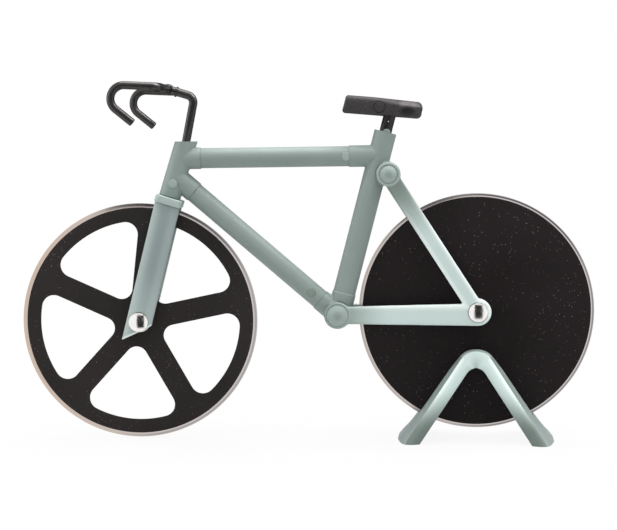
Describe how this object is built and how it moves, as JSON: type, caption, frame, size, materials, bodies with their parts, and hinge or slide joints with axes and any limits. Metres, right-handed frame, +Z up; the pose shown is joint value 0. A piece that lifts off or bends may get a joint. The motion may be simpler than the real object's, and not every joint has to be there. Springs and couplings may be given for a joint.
{
  "type": "pizza cutter",
  "caption": "Pizza cutter shaped like a bicycle: steel disc blades for wheels, a green tube frame as the grip, a black drop bar and saddle, and a separate arched stand.",
  "frame": {"origin": "on the table, under the middle of the cutter's bounding box", "axes": "+Z up, +X towards the rear blade and the stand, -Y towards the viewer, where the cutter's near side is"},
  "size_m": [0.2312, 0.0503, 0.1434],
  "materials": {
    "coated_steel": "satin black non-stick coat with a bare bevelled edge",
    "polished_steel": "polished",
    "white_nylon": "matte",
    "frame_plastic": "satin sage green",
    "pale_plastic": "satin pale sage green",
    "black_rod": "glossy black",
    "saddle_plastic": "fine-grained black",
    "stand_plastic": "satin pale sage green"
  },
  "bodies": {
    "stand": {"stand": "stand_plastic"},
    "frame": {"front_axle_rivet": "polished_steel", "rear_axle_rivet": "polished_steel", "front_spacer_near": "white_nylon", "front_spacer_far": "white_nylon", "rear_spacer_near": "white_nylon", "rear_spacer_far": "white_nylon", "head_lug": "frame_plastic", "top_tube": "frame_plastic", "down_tube": "frame_plastic", "seat_tube": "frame_plastic", "bottom_bracket": "frame_plastic", "head_pin": "frame_plastic", "top_tube_pin": "frame_plastic", "down_tube_pin": "frame_plastic", "fork_crown": "pale_plastic", "fork_leg_near": "pale_plastic", "fork_leg_far": "pale_plastic", "rear_arm_near": "pale_plastic", "rear_arm_far": "pale_plastic", "seat_cap_near": "frame_plastic", "seat_cap_far": "frame_plastic", "bracket_cap_near": "frame_plastic", "bracket_cap_far": "frame_plastic", "seat_post": "saddle_plastic", "saddle": "saddle_plastic", "saddle_pin": "saddle_plastic"},
    "front_wheel": {"front_blade": "coated_steel"},
    "rear_wheel": {"rear_blade": "coated_steel"},
    "bar": {"stem": "black_rod", "handlebar": "black_rod"}
  },
  "joints": [
    {"name": "lift_off_stand", "type": "slide", "parent": "stand", "child": "frame", "axis": [0, 0, 1], "range_m": [0, 0.06]},
    {"name": "front_wheel_spin", "type": "hinge", "parent": "frame", "child": "front_wheel", "pos_m": [-0.0681, 0, 0.0475], "axis": [0, 1, 0], "continuous": true},
    {"name": "rear_wheel_spin", "type": "hinge", "parent": "frame", "child": "rear_wheel", "pos_m": [0.0681, 0, 0.0516], "axis": [0, 1, 0], "continuous": true},
    {"name": "bar_turn", "type": "hinge", "parent": "frame", "child": "bar", "pos_m": [-0.04916, 0, 0.11992], "axis": [0.1857, 0, 0.9826], "range_deg": [-115, 125]}
  ]
}
